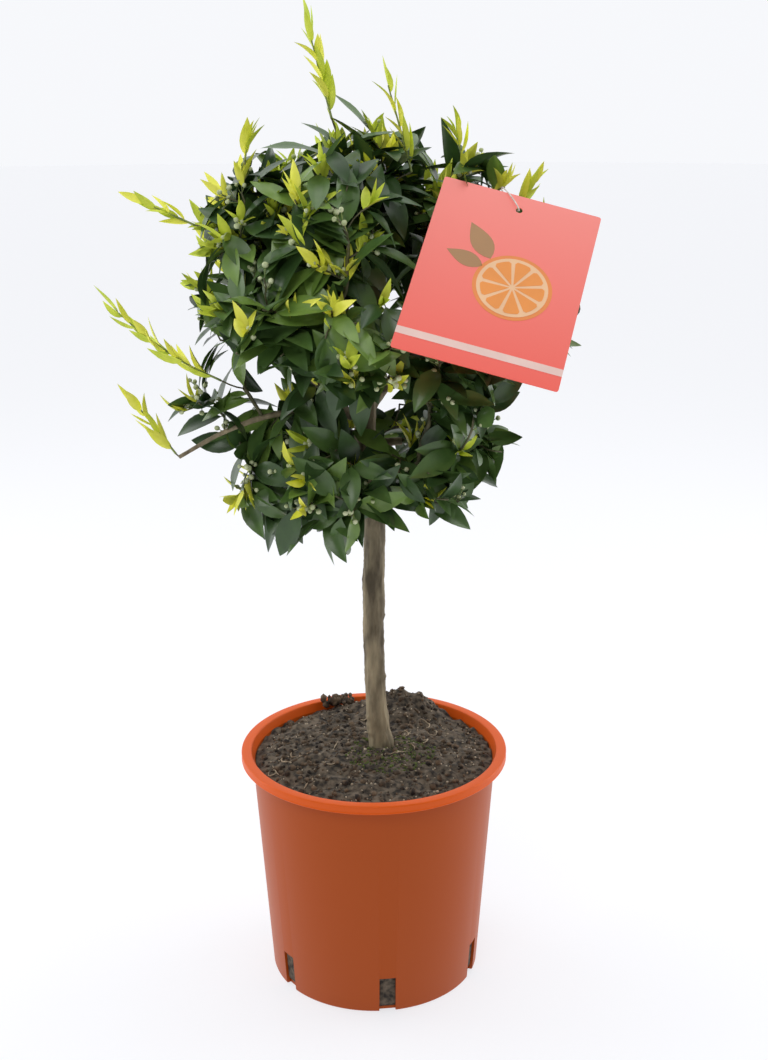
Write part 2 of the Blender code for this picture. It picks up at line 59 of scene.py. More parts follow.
# Pot
POT_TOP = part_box("pot")[1].z
RIM_RADIUS = 0.110
RIM_WIDTH = 0.0085
RIM_DROP = 0.0065
RIM_ROUND = 0.0012
RIM_FILLET = 0.0006
RIM_BEAD = (
    # How far in from the rim's outside, and how far above its lower edge
    (0.0026, 0.0006),
    (0.0020, -0.0003),
    (0.0006, -0.0005),
    (0.0, 0.0002),
    (0.0004, 0.0010),
    (0.0004, 0.0018),
)
ROUND_STEPS = 4
POT_WALL = 0.0018
POT_FLOOR = 0.0025
BODY_TOP_RADIUS = 0.1009
BASE_RADIUS = 0.0877
FOOT_ROUND = 0.0015
FOOT_CORNER = 0.0004
POT_SEGMENTS = 180
# The rim carries a painted highlight, lighter than the body: it begins this far below the rim's lower
# edge and fades in over this height
RIM_HIGHLIGHT_BELOW = 0.0010
RIM_HIGHLIGHT_FADE = 0.0008
SLOT_COUNT = 6
SLOT_WIDTH = 0.0134
SLOT_HEIGHT = 0.032
SLOT_DEPTH = 0.018
SLOT_INSIDE = 0.004
FIRST_SLOT_ANGLE = radians(-83.4)

# Compost
SOIL_EDGE_HEIGHT = 0.1885
SOIL_EDGE_CLEARANCE = 0.0004
SOIL_EDGE_INSET = 0.0008
SOIL_EDGE_DROP = 0.010
SOIL_SIDE_HEIGHTS = (0.17, 0.09, 0.006, 0.003)
SOIL_SIDE_CLEARANCE = 0.0006
SOIL_RINGS = 70
SOIL_SIDES = 200
SOIL_RELIEF = (
    # Height and frequency of the lumps, and of the grain
    (0.0034, 110),
    (0.0012, 330),
)
ABOVE_POT = 0.3
SPOT_SHARE = (0.02, 0.95)
CRUMBS = 1100
CRUMB_INSET = 0.002
SMALL_CRUMB_SHARE = 0.85
SMALL_CRUMB = (0.0005, 0.0019)
LARGE_CRUMB = (0.002, 0.0032)
CLODS = 70
CLOD_MIDDLE = Vector((-0.030, 0.088, 0.1955))
CLOD_SPREAD = (0.006, 0.003, 0.006)
CLOD_SIZE = (0.0012, 0.0034)
FLECKS = 260
FLECK_LIFT = 0.0004
FLECK_SIZE = (0.0004, 0.0011)
MOSS_TUFTS = 420
MOSS_SQUASH = (0.7, 0.6)
MOSS_MIDDLE = (0.014, -0.018)
MOSS_SIZE = (0.0005, 0.0014)
STRIPS = 16
FRONT_LEFT_STRIPS = 6
FRONT_LEFT_SPAN = ((-0.080, -0.058), (-0.048, -0.006))
STRIP_SPAN = ((-0.06, 0.06), (-0.07, 0.05))
STRIP_STEPS = 10
STRIP_REACH = 0.085
STRIP_LIFT = 0.0007
STRIP_RADIUS = 0.0006
STRIP_TAPER = 0.6

# Stem and limbs
STEM_SIDES = 72
STEM_RINGS = 300
STEM_SUNK = 0.004
FORK_PLACE = Vector((0.0, 0.0, 0.50))
RING_TOLERANCE = 2e-4
LIMB_SIDES = 20
LIMB_RINGS = 46
LIMB_ROOT = 0.006
LIMB_ROOT_SWELL = 1.25
LIMB_ROUGHNESS = 0.10
LIMB_ROUGH_FREQUENCY = 160
CAD_LIMB_RINGS = 5
BARK_RELIEF = 0.00075
BARK_RIDGES = (
    # Strength, frequency round the stem and frequency along it
    (1.0, 3.0, 60),
    (0.6, 9, 240),
)
STEM_SCARS = 16
SCAR_ABOVE_FOOT = 0.01
SCAR_HEIGHT = 0.0013
SCAR_LENGTH = 0.0022
SCAR_NARROWNESS = 4.0

# Twigs
LOWEST_FORK = 0.42
NODE_STEP = 0.007
TIP_SPACING = 0.0190
TIP_TRIES = 900
TIP_DEPTH = (0.10, 0.92)
TIP_REACH = 0.86
REACH_COST = 0.32
TIP_RADIUS = 0.00060
PIPE_POWER = 2.5
THICKEST_TWIG = 0.0022
TWIG_SIDES = 6
TWIG_BOW = 0.06
TWIG_WANDER = 0.0016
INNER_TIPS = (
    # Twig tips in the hollow at the head's left front, which only a few leaves fill
    (-0.052, -0.048, 0.532),
    (-0.040, -0.052, 0.512),
    (-0.060, -0.036, 0.500),
    (-0.032, -0.058, 0.536),
    (-0.096, -0.026, 0.505),
    (-0.112, -0.030, 0.478),
    (-0.048, -0.030, 0.478),
)

# Mature leaves
MATURE_TONES = {
    "deep": ((0.026, 0.060, 0.016), (0.048, 0.100, 0.026)),
    "green": ((0.052, 0.108, 0.024), (0.088, 0.165, 0.038)),
    "fresh": ((0.115, 0.205, 0.036), (0.180, 0.290, 0.055)),
}
MATURE_SHARES = (0.42, 0.38, 0.20)
LEAF_ROWS = (0.0, 0.05, 0.11, 0.17, 0.27, 0.39, 0.52, 0.65, 0.78, 0.89, 0.96, 1.0)
LEAF_COLUMNS = (-1.0, -0.5, 0.0, 0.5, 1.0)
LEAF_LENGTH = (0.034, 0.054)
LEAF_SLIMNESS = (0.34, 0.42)
WAVES_ALONG = 9
WAVE_SHIFT = 2
LEAF_STALK_SHARE = 0.08
LEAF_STALK_WIDTH = 0.045
LEAVES_PER_SPRAY = (4, 6)
LEAF_STEP = 0.0055
LEAF_TRIES = 7
LEAF_TURN_WANDER = 0.3
LEAF_SPREAD = (30, 48)
LEAF_SPREAD_GAIN = 6
LEAF_SHRINK = 0.95
LEAF_FACE_UP = 0.9
LEAF_FACE_OUT = 0.8
LEAF_FACE_WOBBLE = 0.28

# Room that the leaves have
OVERSHOOT = 0.007
INNER_EXTRA = 0.026
INNER_RADIUS = 0.100
INNER_SIDE = -0.012
FULL_ABOVE = 0.545
CARD_AIR = 0.0025
SKY_GAPS = (
    # x and z where the camera sees the gap at the stem's depth, half width, half height
    (-0.082, 0.514, 0.009, 0.016),
    (-0.067, 0.459, 0.007, 0.008),
    (-0.110, 0.474, 0.006, 0.006),
    (0.015, 0.493, 0.009, 0.022),
    (-0.013, 0.525, 0.004, 0.012),
    (0.018, 0.574, 0.004, 0.006),
)

# Young leaves
YOUNG_TONES = {
    "lime": ((0.50, 0.61, 0.045), (0.72, 0.80, 0.090)),
    "yellow": ((0.80, 0.82, 0.070), (0.94, 0.92, 0.150)),
}
YOUNG_ROWS = (0.0, 0.10, 0.25, 0.45, 0.65, 0.85, 1.0)
YOUNG_COLUMNS = (-1.0, 0.0, 1.0)
YOUNG_LENGTH = (0.017, 0.029)
YOUNG_SLIMNESS = (0.25, 0.34)
YOUNG_FACE_UP = 0.5
YOUNG_FACE_TURN = 0.4
YOUNG_PER_SPRAY = (4, 7)
YOUNG_STEP = 0.0022
YOUNG_SPREAD = (12, 38)
YOUNG_RISE = 0.8
YOUNG_OUTWARD = 0.6
YOUNG_OVERSHOOT = OVERSHOOT + 0.004
SKIN_DEPTH = 0.020
YOUNG_HIGH_ABOVE = 0.56
YOUNG_SHARE_HIGH = 0.64
YOUNG_SHARE_LOW = 0.24

# Young shoots
SHOOT_RINGS = 30
SHOOT_FEWEST_RINGS = 3
SHOOT_STEM_RADII = (0.0009, 0.0005)
SHOOT_END_LEAF = 0.022
SHOOT_END_SHARE = 0.45
SHOOT_BARE_FOOT = 0.08
SHOOT_FEWEST_LEAVES = 6
SHOOT_LEAF_STEP = 0.0075
SHOOT_LEAF_LENGTH = (0.020, 0.031)
SHOOT_LEAF_TAPER = 0.25
SHOOT_LEAF_SPREAD = (14, 34)

# Flower buds
BUD_SHARE = 0.55
BUDS_PER_TWIG = (3, 8)
BUD_REACH = 0.016
BUD_RADIUS = (0.0014, 0.0023)
BUD_STALK_LENGTH = (0.005, 0.012)
BUD_STALK_RADIUS = 0.00035
BUD_STALK_DIP = 0.0004

# Hang card
CARD_WIDTH = 0.116
CARD_HEIGHT = 0.157
CARD_THICKNESS = 0.0008
CARD_MIDDLE = Vector((0.089, -0.100, 0.5955))
CARD_TURN = radians(7.6)
CARD_LEAN = radians(-45.4)
CARD_ROLL = radians(20.6)
CARD_CORNER = 0.002
CORNER_STEPS = 5
CARD_HOLE_RADIUS = 0.0025
CARD_HOLE_BELOW_TOP = 0.013

# The card's printed picture, from the card's middle
PRINT_LIFT = 0.00015
PRINT_SUNK = 0.0001
SLICE_MIDDLE = (0.010, -0.004)
JUICE_START = 0.0022
JUICE_SEGMENTS = 9
STRIPE_CORNERS = ((-0.058, -0.060), (0.058, -0.060), (0.058, -0.066), (-0.058, -0.066))
PRINTED_LEAVES = (
    # Foot, turn, length and width
    ((-0.010, 0.016), 2.2, 0.034, 0.016),
    ((-0.014, 0.008), 2.9, 0.028, 0.013),
)

# Camera, from the photo
CAMERA_PLACE = Vector((0.0036, -1.1309, 0.7325))
CAMERA_PITCH = 0.2985
CAMERA_YAW = 0.0049
CAMERA_ROLL = -0.004
CAMERA_LENS = 50.42
CAMERA_SENSOR = 36.0

# Studio
STUDIO_WHITE = (0.96, 0.97, 1.0, 1.0)
FLOOR_BELOW = 0.0002
PANELS = (
    # Name, place, what it faces, width and height, power
    ("left_panel", (-1.5, 0.6, 0.8), (0, 0, 0.4), (1.2, 1.8), 11.0),
    ("right_panel", (1.5, 0.6, 0.8), (0, 0, 0.4), (1.2, 1.8), 11.0),
    ("top_panel", (0.0, 0.1, 2.2), (0, 0, 0.4), (1.6, 1.6), 8.0),
    ("front_panel", (-0.6, -1.7, 2.1), (0, 0, 0.6), (1.2, 0.9), 13.0),
)


# Objects and meshes

class Heap:
    """Gathers many small shapes that become one mesh."""

    def __init__(self):
        self.places = []
        self.faces = []
        self.count = 0

    def add(self, places, faces):
        self.places.append(np.asarray(places, dtype=float))
        self.faces.extend([[index + self.count for index in face] for face in faces])
        self.count += len(places)

    def make(self, name, material, slot, smooth=True):
        mesh = bpy.data.meshes.new(name)
        mesh.from_pydata(np.concatenate(self.places).tolist(), [], self.faces)
        mesh.update()
        return add_piece(name, mesh, material, smooth)


def new_object(name, data):
    obj = bpy.data.objects.new(name, data)
    bpy.context.scene.collection.objects.link(obj)
    return obj


def mesh_from(name, bm):
    mesh = bpy.data.meshes.new(name)
    bm.to_mesh(mesh)
    bm.free()
    return mesh


def add_piece(name, mesh, material, smooth=True):
    obj = new_object(name, mesh)
    mesh.materials.append(material)
    if smooth:
        mesh.shade_smooth()
    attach(obj, BODY)
    return obj


def cut(obj, cutter):
    """Takes the cutter's shape out of obj for good, and removes the cutter."""
    change = obj.modifiers.new("cut", "BOOLEAN")
    change.object = cutter
    change.solver = "EXACT"
    graph = bpy.context.evaluated_depsgraph_get()
    mesh = bpy.data.meshes.new_from_object(obj.evaluated_get(graph))
    obj.modifiers.clear()
    obj.data = mesh
    bpy.data.objects.remove(cutter)


# Materials

def new_material(name, roughness, sheen=0.5, colour=(0.5, 0.5, 0.5)):
    material = bpy.data.materials.new(name)
    material.use_nodes = True
    shader = material.node_tree.nodes["Principled BSDF"]
    shader.inputs["Base Color"].default_value = (*colour, 1.0)
    shader.inputs["Roughness"].default_value = roughness
    shader.inputs["Specular IOR Level"].default_value = sheen
    return material, material.node_tree, shader


def two_tones(tree, shader, value, tones, positions):
    """Colours the shader by a value, from one tone to the other between two positions."""
    ramp = tree.nodes.new("ShaderNodeValToRGB")
    for element, tone, position in zip(ramp.color_ramp.elements, tones, positions):
        element.position = position
        element.color = (*tone, 1.0)
    tree.links.new(value, ramp.inputs["Fac"])
    tree.links.new(ramp.outputs["Color"], shader.inputs["Base Color"])


def along_axis(tree, kind, axis, span, to=(0.0, 1.0)):
    """How far a place is along one axis, taken from one span to another."""
    place = tree.nodes.new("ShaderNodeTexCoord")
    split = tree.nodes.new("ShaderNodeSeparateXYZ")
    reach = tree.nodes.new("ShaderNodeMapRange")
    for socket, number in zip(("From Min", "From Max", "To Min", "To Max"), (*span, *to)):
        reach.inputs[socket].default_value = number
    tree.links.new(place.outputs[kind], split.inputs["Vector"])
    tree.links.new(split.outputs[axis], reach.inputs["Value"])
    return reach.outputs["Result"]


def mottled(name, dark, light, roughness, scale, bump=0.0, stretch=(1, 1, 1), sheen=0.5):
    """A colour that wanders between two tones, with relief where bump isn't zero."""
    material, tree, shader = new_material(name, roughness, sheen)
    place = tree.nodes.new("ShaderNodeTexCoord")
    mapping = tree.nodes.new("ShaderNodeMapping")
    mapping.inputs["Scale"].default_value = stretch
    cloud = tree.nodes.new("ShaderNodeTexNoise")
    cloud.inputs["Scale"].default_value = scale
    cloud.inputs["Detail"].default_value = 5.0
    tree.links.new(place.outputs["Object"], mapping.inputs["Vector"])
    tree.links.new(mapping.outputs["Vector"], cloud.inputs["Vector"])
    two_tones(tree, shader, cloud.outputs["Fac"], (dark, light), positions=(0.36, 0.64))
    if bump:
        relief = tree.nodes.new("ShaderNodeBump")
        relief.inputs["Strength"].default_value = bump
        relief.inputs["Distance"].default_value = 0.001
        tree.links.new(cloud.outputs["Fac"], relief.inputs["Height"])
        tree.links.new(relief.outputs["Normal"], shader.inputs["Normal"])
    return material


def graded(name, low, high, span, roughness, sheen=0.5):
    """A colour that changes evenly with height."""
    material, tree, shader = new_material(name, roughness, sheen)
    height = along_axis(tree, "Object", "Z", span)
    two_tones(tree, shader, height, (low, high), positions=(0.0, 1.0))
    return material


# Small shapes

def turn_angles(count):
    return [2 * pi * index / count for index in range(count)]


def circle(radius, count, middle=(0.0, 0.0)):
    return [(middle[0] + radius * cos(turn), middle[1] + radius * sin(turn))
            for turn in turn_angles(count)]


def tube_faces(rings, sides):
    """The faces of a closed tube of that many rings, with a cap at each end."""
    faces = []
    for ring in range(rings - 1):
        low = ring * sides
        high = low + sides
        for side in range(sides):
            after = (side + 1) % sides
            faces.append((low + side, low + after, high + after, high + side))
    faces.append(tuple(reversed(range(sides))))
    faces.append(tuple((rings - 1) * sides + side for side in range(sides)))
    return faces


def tube(heap, path, radii, sides):
    """A closed tube along a path."""
    places = []
    last = len(path) - 1
    for index, middle in enumerate(path):
        along = path[min(index + 1, last)] - path[max(index - 1, 0)]
        turn = along.to_track_quat("Z", "X")
        for angle in turn_angles(sides):
            ring = Vector((cos(angle), sin(angle), 0.0)) * radii[index]
            places.append(middle + turn @ ring)
    heap.add(places, tube_faces(len(path), sides))


def unit_ball(detail):
    bm = bmesh.new()
    bmesh.ops.create_icosphere(bm, subdivisions=detail, radius=1.0)
    places = np.array([vert.co for vert in bm.verts])
    faces = [tuple(vert.index for vert in face.verts) for face in bm.faces]
    bm.free()
    return places, faces


def lump(heap, ball, place, radius, rng, roughness=0.35):
    """A small uneven lump."""
    places, faces = ball
    squash = np.array([rng.uniform(1 - roughness, 1 + roughness) for _ in range(3)])
    swell = 1 + roughness * np.array([rng.uniform(-0.6, 0.6) for _ in range(len(places))])
    heap.add(places * swell[:, None] * squash * radius + np.array(place), faces)


def mature_outline(share):
    """Half a leaf's width along its length: a thin stalk, then a long oval with a pointed tip."""
    if share < LEAF_STALK_SHARE:
        return LEAF_STALK_WIDTH
    blade = (share - LEAF_STALK_SHARE) / (1 - LEAF_STALK_SHARE)
    oval = sin(pi * blade**0.82) ** 0.80
    return max(LEAF_STALK_WIDTH * (1 - blade), oval * (1 - 0.28 * blade**5))


def young_outline(share):
    return max(0.03, sin(pi * share**0.75) ** 0.9)


def leaf(heap, base, along, face_up, length, slimness, droop, fold, rows, columns, outline, wave=0.0):
    """One leaf as a thin curved blade that bends down along its length and folds up at its midrib."""
    side = along.cross(face_up).normalized()
    face_up = side.cross(along).normalized()
    half = length * slimness / 2
    middle = base.copy()
    places = []
    before = 0.0
    for share in rows:
        bend = -droop * share
        heading = along * cos(bend) + face_up * sin(bend)
        middle = middle + heading * (share - before) * length
        before = share
        lift = face_up * cos(bend) - along * sin(bend)
        reach = half * outline(share)
        for column in columns:
            ripple = sin(WAVES_ALONG * share + WAVE_SHIFT * column)
            rise = fold * abs(column) + wave * abs(column) * ripple
            places.append(middle + side * reach * column + lift * reach * rise)
    faces = []
    width = len(columns)
    for row in range(len(rows) - 1):
        for column in range(width - 1):
            low = row * width + column
            faces.append((low, low + 1, low + width + 1, low + width))
    heap.add(places, faces)


# Pot

def inner_wall_radius(height):
    share = height / (POT_TOP - RIM_DROP)
    return BASE_RADIUS + (BODY_TOP_RADIUS - BASE_RADIUS) * share - POT_WALL


def pot_profile():
    """Radius and height round half a section: foot, outer wall, bead, rolled rim and inside."""
    rim_base = POT_TOP - RIM_DROP
    rim_inner = RIM_RADIUS - RIM_WIDTH
    turns = [pi / 2 * step / ROUND_STEPS for step in range(ROUND_STEPS + 1)]
    profile = [(0.0, 0.0), (BASE_RADIUS - FOOT_ROUND, 0.0), (BASE_RADIUS - FOOT_CORNER, FOOT_CORNER)]
    profile += [(BASE_RADIUS, FOOT_ROUND), (BODY_TOP_RADIUS, rim_base)]
    profile.append((BODY_TOP_RADIUS + RIM_FILLET, rim_base + RIM_FILLET))
    profile += [(RIM_RADIUS - inward, rim_base + above) for inward, above in RIM_BEAD]
    for turn in turns:
        out = RIM_RADIUS - RIM_ROUND + RIM_ROUND * cos(turn)
        profile.append((out, POT_TOP - RIM_ROUND + RIM_ROUND * sin(turn)))
    for turn in turns:
        out = rim_inner + RIM_ROUND - RIM_ROUND * sin(turn)
        profile.append((out, POT_TOP - RIM_ROUND + RIM_ROUND * cos(turn)))
    profile.append((inner_wall_radius(rim_base), rim_base))
    profile += [(inner_wall_radius(POT_FLOOR) - FOOT_ROUND, POT_FLOOR), (0.0, POT_FLOOR)]
    return profile


def make_pot():
    """The tapered pot with its flat rolled rim, the bead at the rim's lower edge, and its drain slots."""
    bm = bmesh.new()
    verts = [bm.verts.new((radius, 0.0, height)) for radius, height in pot_profile()]
    edges = [bm.edges.new(pair) for pair in zip(verts, verts[1:])]
    bmesh.ops.spin(
        bm, geom=verts + edges, cent=(0, 0, 0), axis=(0, 0, 1),
        angle=2 * pi, steps=POT_SEGMENTS, use_duplicate=False,
    )
    bmesh.ops.remove_doubles(bm, verts=bm.verts, dist=1e-6)
    bmesh.ops.recalc_face_normals(bm, faces=bm.faces)
    # The rim, the bead at its lower edge and the inside above the wall are painted a lighter red than the
    # body: a painted highlight where light falls on the rim
    highlight_start = POT_TOP - RIM_DROP - RIM_HIGHLIGHT_BELOW
    material = graded("terracotta_rim_highlight", low=(0.42, 0.070, 0.003), high=(0.74, 0.105, 0.006),
                      span=(highlight_start, highlight_start + RIM_HIGHLIGHT_FADE), roughness=0.42, sheen=0.22)
    pot = add_piece("pot_shell", mesh_from("pot_shell", bm), material, smooth=False)
    cut(pot, slot_blocks())
    pot.data.shade_smooth()
    pot.data.set_sharp_from_angle(angle=radians(38))
    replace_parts(pot, "pot")


def slot_blocks():
    bm = bmesh.new()
    size = Matrix.Diagonal((SLOT_DEPTH, SLOT_WIDTH, 2 * SLOT_HEIGHT, 1.0))
    place = Matrix.Translation((BASE_RADIUS + SLOT_DEPTH / 2 - SLOT_INSIDE, 0.0, 0.0))
    for turn in turn_angles(SLOT_COUNT):
        spin = Matrix.Rotation(FIRST_SLOT_ANGLE + turn, 4, "Z")
        bmesh.ops.create_cube(bm, size=1.0, matrix=spin @ place @ size)
    return new_object("slot_blocks", mesh_from("slot_blocks", bm))


# Compost

def surface_of(names):
    """One search tree over the surfaces of several CAD nodes."""
    places = []
    faces = []
    for name in names:
        mesh = NODES[name].data
        count = len(places)
        places.extend(vert.co.copy() for vert in mesh.vertices)
        faces.extend([index + count for index in face.vertices] for face in mesh.polygons)
    return BVHTree.FromPolygons(places, faces)


def soil_top(surface, x, y):
    """The height of the compost's uneven top over a place."""
    hit = surface.ray_cast(Vector((x, y, ABOVE_POT)), -UP)[0]
    level = hit.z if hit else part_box("soil")[1].z - SOIL_EDGE_DROP
    place = Vector((x, y, 0.0))
    return level + sum(rise * noise.noise(place * frequency) for rise, frequency in SOIL_RELIEF)


def soil_places(surface, edge):
    """The middle of the compost's top, the rings round it, and the rings of its side."""
    places = [(0.0, 0.0, soil_top(surface, 0.0, 0.0))]
    for ring in range(1, SOIL_RINGS + 1):
        radius = edge * ring / SOIL_RINGS
        near = circle(min(radius, edge - SOIL_EDGE_INSET), SOIL_SIDES)
        places += [(*place, soil_top(surface, *inside))
                   for place, inside in zip(circle(radius, SOIL_SIDES), near)]
    for height in SOIL_SIDE_HEIGHTS:
        foot = FOOT_ROUND if height == SOIL_SIDE_HEIGHTS[-1] else 0.0
        radius = inner_wall_radius(height) - SOIL_SIDE_CLEARANCE - foot
        places += [(*place, height) for place in circle(radius, SOIL_SIDES)]
    return places


def soil_faces():
    """Faces from the middle out to the edge, down the side, and across the bottom."""
    faces = [(0, 1 + side, 1 + (side + 1) % SOIL_SIDES) for side in range(SOIL_SIDES)]
    strips = SOIL_RINGS + len(SOIL_SIDE_HEIGHTS) - 1
    for ring in range(strips):
        low = 1 + ring * SOIL_SIDES
        high = low + SOIL_SIDES
        for side in range(SOIL_SIDES):
            after = (side + 1) % SOIL_SIDES
            faces.append((low + side, high + side, high + after, low + after))
    bottom = 1 + strips * SOIL_SIDES
    faces.append(tuple(bottom + side for side in reversed(range(SOIL_SIDES))))
    return faces


def make_soil():
    """The compost's lumpy top, its side, which shows in the drain slots, and what lies on it."""
    surface = surface_of(["soil"])
    edge = inner_wall_radius(SOIL_EDGE_HEIGHT) - SOIL_EDGE_CLEARANCE
    heap = Heap()
    heap.add(soil_places(surface, edge), soil_faces())
    material = mottled("compost_dark", (0.018, 0.014, 0.010), (0.150, 0.115, 0.080),
                       roughness=0.95, scale=200.0, bump=0.6)
    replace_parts(heap.make("compost_bed", material, "compost"), "soil")
    rng = random.Random("compost")
    ball = unit_ball(1)
    reach = edge - CRUMB_INSET
    scatter_crumbs(rng, ball, surface, reach)
    scatter_flecks(rng, ball, surface, reach)
    scatter_moss(rng, ball, surface)
    scatter_strips(rng, surface)


def spot_on_soil(rng, surface, reach):
    radius = reach * sqrt(rng.uniform(*SPOT_SHARE))
    turn = rng.uniform(0, 2 * pi)
    x = radius * cos(turn)
    y = radius * sin(turn)
    return Vector((x, y, soil_top(surface, x, y)))


def scatter_crumbs(rng, ball, surface, reach):
    """Crumbs all over the compost, and a pile of clods at its back."""
    crumbs = Heap()
    for _ in range(CRUMBS):
        span = SMALL_CRUMB if rng.random() < SMALL_CRUMB_SHARE else LARGE_CRUMB
        size = rng.uniform(*span)
        lump(crumbs, ball, spot_on_soil(rng, surface, reach), size, rng)
    wide, deep, high = CLOD_SPREAD
    for _ in range(CLODS):
        away = Vector((rng.gauss(0, wide), rng.gauss(0, deep), rng.uniform(0.0, high)))
        lump(crumbs, ball, CLOD_MIDDLE + away, rng.uniform(*CLOD_SIZE), rng)
    dark = mottled("compost_crumb", (0.016, 0.011, 0.008), (0.150, 0.100, 0.060),
                   roughness=0.95, scale=160.0)
    crumbs.make("compost_crumbs", dark, "compost")


def scatter_flecks(rng, ball, surface, reach):
    flecks = Heap()
    for _ in range(FLECKS):
        place = spot_on_soil(rng, surface, reach) + UP * FLECK_LIFT
        lump(flecks, ball, place, rng.uniform(*FLECK_SIZE), rng)
    pale = mottled("compost_fleck", (0.34, 0.26, 0.17), (0.55, 0.46, 0.34), roughness=0.9, scale=200.0)
    flecks.make("compost_flecks", pale, "compost")


def scatter_moss(rng, ball, surface):
    """Moss specks in front of the stem."""
    moss = Heap()
    for _ in range(MOSS_TUFTS):
        spot = spot_on_soil(rng, surface, reach=0.055)
        x = spot.x * MOSS_SQUASH[0] + MOSS_MIDDLE[0]
        y = spot.y * MOSS_SQUASH[1] + MOSS_MIDDLE[1]
        lump(moss, ball, (x, y, soil_top(surface, x, y)), rng.uniform(*MOSS_SIZE), rng)
    green = mottled("moss", (0.040, 0.060, 0.012), (0.120, 0.150, 0.030), roughness=0.95, scale=300.0)
    moss.make("moss_specks", green, "compost")


def scatter_strips(rng, surface):
    strips = Heap()
    for index in range(STRIPS):
        add_strip(strips, rng, surface, FRONT_LEFT_SPAN if index < FRONT_LEFT_STRIPS else STRIP_SPAN)
    fibre = mottled("root_fibre", (0.30, 0.21, 0.13), (0.52, 0.42, 0.29), roughness=0.8, scale=120.0)
    strips.make("root_fibres", fibre, "compost")


def add_strip(heap, rng, surface, span):
    """A curled bit of root that lies on the compost."""
    start = Vector((rng.uniform(*span[0]), rng.uniform(*span[1]), 0.0))
    heading = rng.uniform(0, 2 * pi)
    curl = rng.uniform(-0.5, 0.5)
    length = rng.uniform(0.008, 0.022)
    path = []
    for _ in range(STRIP_STEPS + 1):
        x = min(STRIP_REACH, max(-STRIP_REACH, start.x))
        path.append(Vector((x, start.y, soil_top(surface, x, start.y) + STRIP_LIFT)))
        heading += curl
        start += Vector((cos(heading), sin(heading), 0.0)) * length / STRIP_STEPS
    middle = STRIP_STEPS / 2
    radii = [STRIP_RADIUS * (1 - STRIP_TAPER * abs(step - middle) / middle)
             for step in range(STRIP_STEPS + 1)]
    tube(heap, path, radii, sides=5)


# Stem and limbs

def node_places(name):
    places = np.array([vert.co for vert in NODES[name].data.vertices])
    return np.unique(np.round(places, 6), axis=0)


def centreline(name):
    """The middles and radii of a CAD tube's rings, from foot to tip."""
    places = node_places(name)
    middle = places.mean(axis=0)
    axis = np.linalg.svd(places - middle)[2][0]
    order = np.argsort((places - middle) @ axis)
    rings = np.array_split(places[order], CAD_LIMB_RINGS)
    middles = [Vector(ring.mean(axis=0)) for ring in rings]
    radii = [float(np.linalg.norm(ring - ring.mean(axis=0), axis=1).mean()) for ring in rings]
    if (middles[0] - FORK_PLACE).length > (middles[-1] - FORK_PLACE).length:
        middles.reverse()
        radii.reverse()
    return middles, radii


def smooth_path(points, samples):
    """A smooth curve through the points (Catmull-Rom)."""
    points = [2 * points[0] - points[1], *points, 2 * points[-1] - points[-2]]
    spans = len(points) - 3
    path = []
    for sample in range(samples + 1):
        place = min(sample / samples * spans, spans - 1e-9)
        span = int(place)
        t = place - span
        a, b, c, d = points[span:span + 4]
        curve = 2 * b + (c - a) * t + (2 * a - 5 * b + 4 * c - d) * t**2
        path.append((curve + (3 * b - a - 3 * c + d) * t**3) / 2)
    return path


def stem_rings():
    """Each ring of the CAD stem: height, middle, angles, and the radius at each angle."""
    places = node_places("trunk")
    rings = []
    for height in np.unique(np.round(places[:, 2], 4)):
        ring = places[np.abs(places[:, 2] - height) < RING_TOLERANCE]
        middle = ring[:, :2].mean(axis=0)
        away = ring[:, :2] - middle
        angles = np.arctan2(away[:, 1], away[:, 0])
        order = np.argsort(angles)
        rings.append((height, middle, angles[order], np.hypot(*away.T)[order]))
    return rings


def rings_at(rings, height):
    """The CAD rings below and above a height, and how far it is from one to the other, eased."""
    heights = [ring[0] for ring in rings]
    at = min(max(height, heights[0]), heights[-1])
    above = min(int(np.searchsorted(heights, at)), len(rings) - 1)
    below = max(above - 1, 0)
    span = heights[above] - heights[below]
    share = (at - heights[below]) / span if span else 0.0
    return rings[below], rings[above], share * share * (3 - 2 * share)


def ring_radius(ring, turn):
    return np.interp(turn, ring[2], ring[3], period=2 * pi)


def ridge_at(out, height):
    """How strong the bark's ridges are at a place on the stem."""
    ridge = 0.0
    for strength, across, along in BARK_RIDGES:
        ridge += strength * noise.noise(Vector((out.x * across, out.y * across, height * along)))
    return ridge


def scar_at(turn, height, scars):
    """How far old bud scars stand out at a place on the stem."""
    rise = 0.0
    for scar_height, scar_turn in scars:
        aside = SCAR_NARROWNESS * sin((turn - scar_turn) / 2)
        far = hypot((height - scar_height) / SCAR_LENGTH, aside)
        rise += SCAR_HEIGHT * exp(-far * far)
    return rise


def make_stem(heap, rings):
    """The stem with fine bark relief, faint ridges and old bud scars."""
    rng = random.Random("stem")
    low_end = rings[0][0]
    high_end = rings[-1][0]
    scars = [(rng.uniform(low_end + SCAR_ABOVE_FOOT, high_end), rng.uniform(-pi, pi))
             for _ in range(STEM_SCARS)]
    foot = low_end - STEM_SUNK
    places = []
    for step in range(STEM_RINGS + 1):
        height = foot + (high_end - foot) * step / STEM_RINGS
        below, above, share = rings_at(rings, height)
        middle = below[1] * (1 - share) + above[1] * share
        for turn in turn_angles(STEM_SIDES):
            out = Vector((cos(turn), sin(turn), 0.0))
            reach = ring_radius(below, turn) * (1 - share) + ring_radius(above, turn) * share
            reach = reach + BARK_RELIEF * ridge_at(out, height) + scar_at(turn, height, scars)
            places.append((middle[0] + out.x * reach, middle[1] + out.y * reach, height))
    heap.add(places, tube_faces(STEM_RINGS + 1, STEM_SIDES))


